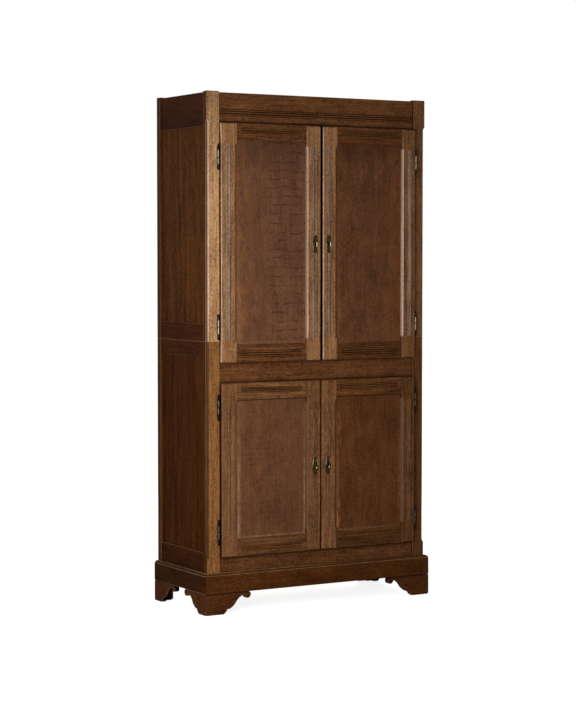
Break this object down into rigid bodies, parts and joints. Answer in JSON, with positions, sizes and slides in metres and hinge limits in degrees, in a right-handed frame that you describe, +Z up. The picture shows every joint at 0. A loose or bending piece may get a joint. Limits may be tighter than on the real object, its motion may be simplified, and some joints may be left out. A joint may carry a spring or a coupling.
{
  "type": "linen press",
  "caption": "Tall oak linen press in two stacked carcasses on a moulded plinth with scrolled bracket feet, with framed and panelled doors, reeded bands, barrel hinges and shelves.",
  "frame": {"origin": "on the floor, midway between the sides and between the escutcheon fronts and the back", "axes": "+X to the right of someone facing the doors, +Y towards the back, +Z up"},
  "size_m": [1.0788, 0.4598, 2.1],
  "materials": {
    "frame_oak": "dark stained oak, waxed satin",
    "panel_oak": "dark stained quarter-sawn oak, waxed satin",
    "inside_oak": "thinly stained oak, matt",
    "hinge_iron": "blackened iron, worn bright at the knuckles",
    "aged_brass": "aged brass, brown patina with rubbed high spots",
    "lock_steel": "dull steel"
  },
  "bodies": {
    "carcass": {"plinth_front": "frame_oak", "plinth_sides": "frame_oak", "plinth_back": "inside_oak", "front_feet": "frame_oak", "back_feet": "frame_oak", "lower_front_post_left": "frame_oak", "lower_front_post_right": "frame_oak", "lower_back_posts": "frame_oak", "lower_side_rails": "frame_oak", "lower_side_panels": "panel_oak", "bottom_rail": "frame_oak", "middle_rail": "frame_oak", "lower_floor": "inside_oak", "lower_roof": "inside_oak", "lower_shelves": "inside_oak", "lower_cleats": "inside_oak", "lower_back_boards": "inside_oak", "upper_front_post_left": "frame_oak", "upper_front_post_right": "frame_oak", "upper_back_posts": "frame_oak", "upper_side_rails": "frame_oak", "upper_side_panels": "panel_oak", "frieze_rail": "frame_oak", "upper_floor": "inside_oak", "top_board": "inside_oak", "upper_shelves": "inside_oak", "upper_cleats": "inside_oak", "upper_back_boards": "inside_oak", "lower_post_hinges": "hinge_iron", "upper_post_hinges": "hinge_iron"},
    "lower_left_door": {"lower_left_door_stiles": "frame_oak", "lower_left_door_rails": "frame_oak", "lower_left_door_panel": "panel_oak", "lower_left_door_hinge_leaves": "hinge_iron", "lower_left_door_escutcheon": "aged_brass", "lower_bolt_plates": "lock_steel"},
    "lower_right_door": {"lower_right_door_stiles": "frame_oak", "lower_right_door_rails": "frame_oak", "lower_right_door_panel": "panel_oak", "lower_right_door_hinge_leaves": "hinge_iron", "lower_right_door_escutcheon": "aged_brass", "lower_lock_case": "lock_steel"},
    "lower_lock_bolt_slide": {"lower_lock_bolt": "lock_steel"},
    "lower_top_bolt_slide": {"lower_top_bolt": "lock_steel"},
    "lower_bottom_bolt_slide": {"lower_bottom_bolt": "lock_steel"},
    "upper_left_door": {"upper_left_door_stiles": "frame_oak", "upper_left_door_rails": "frame_oak", "upper_left_door_panel": "panel_oak", "upper_left_door_hinge_leaves": "hinge_iron", "upper_left_door_escutcheon": "aged_brass", "upper_bolt_plates": "lock_steel"},
    "upper_right_door": {"upper_right_door_stiles": "frame_oak", "upper_right_door_rails": "frame_oak", "upper_right_door_panel": "panel_oak", "upper_right_door_hinge_leaves": "hinge_iron", "upper_right_door_escutcheon": "aged_brass", "upper_lock_case": "lock_steel"},
    "upper_lock_bolt_slide": {"upper_lock_bolt": "lock_steel"},
    "upper_top_bolt_slide": {"upper_top_bolt": "lock_steel"},
    "upper_bottom_bolt_slide": {"upper_bottom_bolt": "lock_steel"}
  },
  "joints": [
    {"name": "lower_left_door_hinge", "type": "hinge", "parent": "carcass", "child": "lower_left_door", "pos_m": [-0.4745, -0.21705, 0.581], "axis": [0, 0, -1], "range_deg": [0, 160]},
    {"name": "lower_right_door_hinge", "type": "hinge", "parent": "carcass", "child": "lower_right_door", "pos_m": [0.4745, -0.21705, 0.581], "axis": [0, 0, 1], "range_deg": [0, 160]},
    {"name": "lower_lock_throw", "type": "slide", "parent": "lower_right_door", "child": "lower_lock_bolt_slide", "axis": [-1, 0, 0], "range_m": [0, 0.025]},
    {"name": "lower_top_bolt_throw", "type": "slide", "parent": "lower_left_door", "child": "lower_top_bolt_slide", "axis": [0, 0, 1], "range_m": [0, 0.016]},
    {"name": "lower_bottom_bolt_throw", "type": "slide", "parent": "lower_left_door", "child": "lower_bottom_bolt_slide", "axis": [0, 0, -1], "range_m": [0, 0.016]},
    {"name": "upper_left_door_hinge", "type": "hinge", "parent": "carcass", "child": "upper_left_door", "pos_m": [-0.4745, -0.21705, 1.497], "axis": [0, 0, -1], "range_deg": [0, 160]},
    {"name": "upper_right_door_hinge", "type": "hinge", "parent": "carcass", "child": "upper_right_door", "pos_m": [0.4745, -0.21705, 1.497], "axis": [0, 0, 1], "range_deg": [0, 160]},
    {"name": "upper_lock_throw", "type": "slide", "parent": "upper_right_door", "child": "upper_lock_bolt_slide", "axis": [-1, 0, 0], "range_m": [0, 0.025]},
    {"name": "upper_top_bolt_throw", "type": "slide", "parent": "upper_left_door", "child": "upper_top_bolt_slide", "axis": [0, 0, 1], "range_m": [0, 0.016]},
    {"name": "upper_bottom_bolt_throw", "type": "slide", "parent": "upper_left_door", "child": "upper_bottom_bolt_slide", "axis": [0, 0, -1], "range_m": [0, 0.016]}
  ]
}
